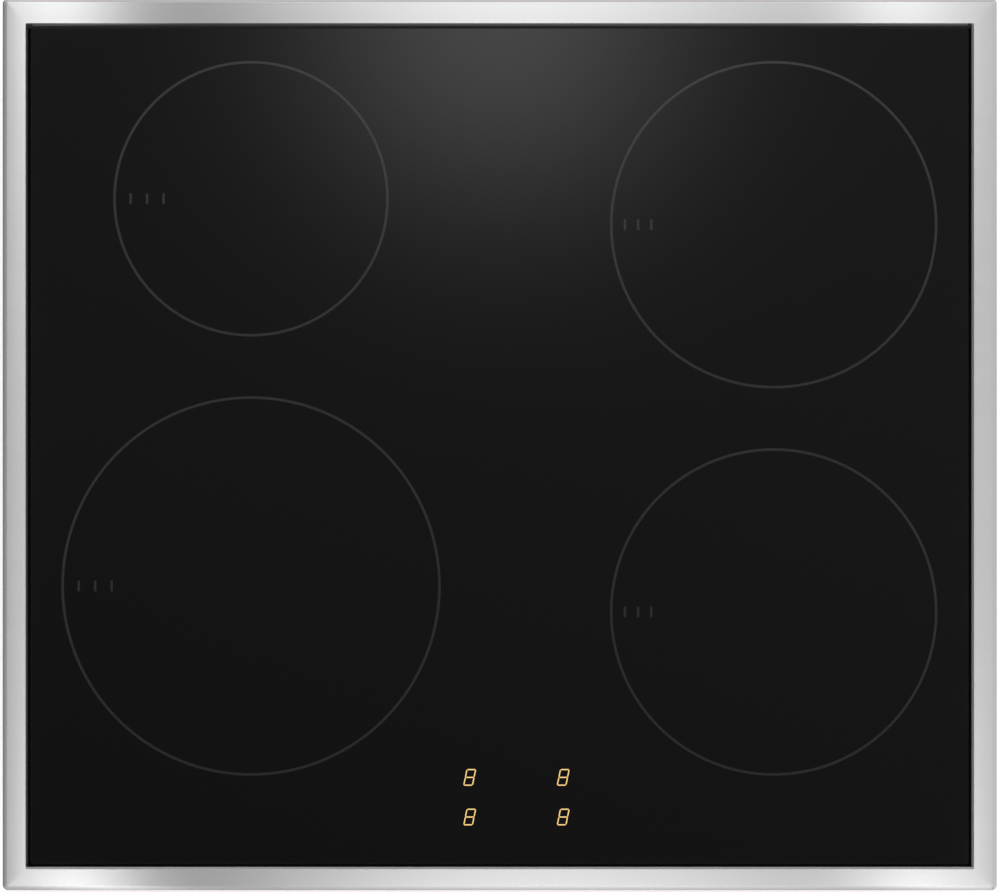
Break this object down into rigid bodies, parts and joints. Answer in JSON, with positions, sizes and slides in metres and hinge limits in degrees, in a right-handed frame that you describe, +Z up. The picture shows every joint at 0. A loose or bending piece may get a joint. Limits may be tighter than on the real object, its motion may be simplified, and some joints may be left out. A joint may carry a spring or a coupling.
{
  "type": "induction cooktop",
  "caption": "Built-in induction cooktop: black glass in a brushed steel trim frame over a vented casing with coils, boards, blowers, swing clamps and a hinged terminal cover.",
  "frame": {"origin": "centre of the worktop plane, which is the underside of the sealing gasket under the trim frame", "axes": "+X to the right, +Y to the rear, +Z up; the front edge, with the display, faces -Y"},
  "size_m": [0.574, 0.515, 0.0545],
  "materials": {
    "stainless": "brushed stainless sheet with a fine straight grain",
    "black_glass": "polished black ceramic glass",
    "enamel_print": "dark grey fired enamel print",
    "black_silicone": "matt black silicone bead",
    "foam_gasket": "closed-cell foam strip",
    "galvanised_sheet": "galvanised sheet steel",
    "zinc_screws": "bright zinc plating",
    "copper_litz": "enamelled copper strands",
    "former_plastic": "heat-resistant moulded plastic",
    "ferrite": "dark grey sintered ferrite",
    "mica": "silvery amber mica sheet",
    "sensor_ceramic": "white ceramic",
    "spring_steel": "tempered spring strip",
    "lead_sleeve": "glass-fibre and silicone sleeve",
    "tray_aluminium": "plain rolled aluminium",
    "post_aluminium": "turned aluminium",
    "circuit_board": "green solder mask",
    "heatsink_aluminium": "extruded aluminium",
    "black_plastic": "moulded black plastic",
    "rotor_plastic": "moulded dark plastic",
    "standoff_nylon": "natural nylon",
    "film_box": "cast resin box",
    "capacitor_sleeve": "shrunk plastic sleeve",
    "choke_winding": "enamelled copper wire on a toroid",
    "terminal_plastic": "moulded grey plastic",
    "block_plastic": "moulded white plastic",
    "brass_contacts": "plated brass",
    "grommet_rubber": "moulded black rubber",
    "module_black": "black display housing",
    "lit_segments": "lit pale yellow light bars, emissive",
    "carrier_plastic": "moulded dark plastic",
    "clamp_steel": "zinc-plated pressed steel"
  },
  "bodies": {
    "cooktop": {"trim_frame": "stainless", "glass_plate": "black_glass", "zone_print": "enamel_print", "glass_seal": "black_silicone", "worktop_gasket": "foam_gasket", "casing": "galvanised_sheet", "casing_screws": "zinc_screws", "tray_screws": "zinc_screws", "clamp_screws": "zinc_screws", "clamp_nuts": "zinc_screws", "coil_winding_rear_left": "copper_litz", "coil_winding_front_left": "copper_litz", "coil_winding_rear_right": "copper_litz", "coil_winding_front_right": "copper_litz", "coil_former_rear_left": "former_plastic", "coil_former_front_left": "former_plastic", "coil_former_rear_right": "former_plastic", "coil_former_front_right": "former_plastic", "ferrite_bars_rear_left": "ferrite", "ferrite_bars_front_left": "ferrite", "ferrite_bars_rear_right": "ferrite", "ferrite_bars_front_right": "ferrite", "mica_discs": "mica", "temperature_sensors": "sensor_ceramic", "coil_springs": "spring_steel", "coil_leads": "lead_sleeve", "coil_tray_left": "tray_aluminium", "coil_tray_right": "tray_aluminium", "tray_posts": "post_aluminium", "power_board_left": "circuit_board", "power_board_right": "circuit_board", "filter_board": "circuit_board", "display_board": "circuit_board", "heatsink_left": "heatsink_aluminium", "heatsink_right": "heatsink_aluminium", "fan_housing_left": "black_plastic", "fan_housing_right": "black_plastic", "power_transistors": "black_plastic", "control_socket": "black_plastic", "board_standoffs": "standoff_nylon", "film_capacitors": "film_box", "filter_capacitors": "film_box", "bulk_capacitors": "capacitor_sleeve", "filter_choke": "choke_winding", "terminal_box": "terminal_plastic", "terminal_block": "block_plastic", "terminal_screws": "brass_contacts", "control_pins": "brass_contacts", "cable_grommet": "grommet_rubber", "digit_modules": "module_black", "digit_segments": "lit_segments", "display_carrier": "carrier_plastic"},
    "fan_left": {"fan_rotor_left": "rotor_plastic"},
    "fan_right": {"fan_rotor_right": "rotor_plastic"},
    "cover": {"terminal_cover": "terminal_plastic"},
    "clamp_front_left": {"clamp_front_left": "clamp_steel"},
    "clamp_front_right": {"clamp_front_right": "clamp_steel"},
    "clamp_rear_left": {"clamp_rear_left": "clamp_steel"},
    "clamp_rear_right": {"clamp_rear_right": "clamp_steel"}
  },
  "joints": [
    {"name": "fan_left_spin", "type": "hinge", "parent": "cooktop", "child": "fan_left", "pos_m": [-0.1, 0.0746, -0.0427], "axis": [0, 0, 1], "continuous": true},
    {"name": "fan_right_spin", "type": "hinge", "parent": "cooktop", "child": "fan_right", "pos_m": [0.1, 0.0746, -0.0427], "axis": [0, 0, 1], "continuous": true},
    {"name": "clamp_front_left_swivel", "type": "hinge", "parent": "cooktop", "child": "clamp_front_left", "pos_m": [-0.2647, -0.15, -0.0435], "axis": [0, 0, 1], "range_deg": [0, 90]},
    {"name": "clamp_front_right_swivel", "type": "hinge", "parent": "cooktop", "child": "clamp_front_right", "pos_m": [0.2647, -0.15, -0.0435], "axis": [0, 0, -1], "range_deg": [0, 90]},
    {"name": "clamp_rear_left_swivel", "type": "hinge", "parent": "cooktop", "child": "clamp_rear_left", "pos_m": [-0.2647, 0.15, -0.0435], "axis": [0, 0, -1], "range_deg": [0, 90]},
    {"name": "clamp_rear_right_swivel", "type": "hinge", "parent": "cooktop", "child": "clamp_rear_right", "pos_m": [0.2647, 0.15, -0.0435], "axis": [0, 0, 1], "range_deg": [0, 90]},
    {"name": "cover_hinge", "type": "hinge", "parent": "cooktop", "child": "cover", "pos_m": [0, 0.1847, -0.0457], "axis": [-1, 0, 0], "range_deg": [0, 90]}
  ]
}
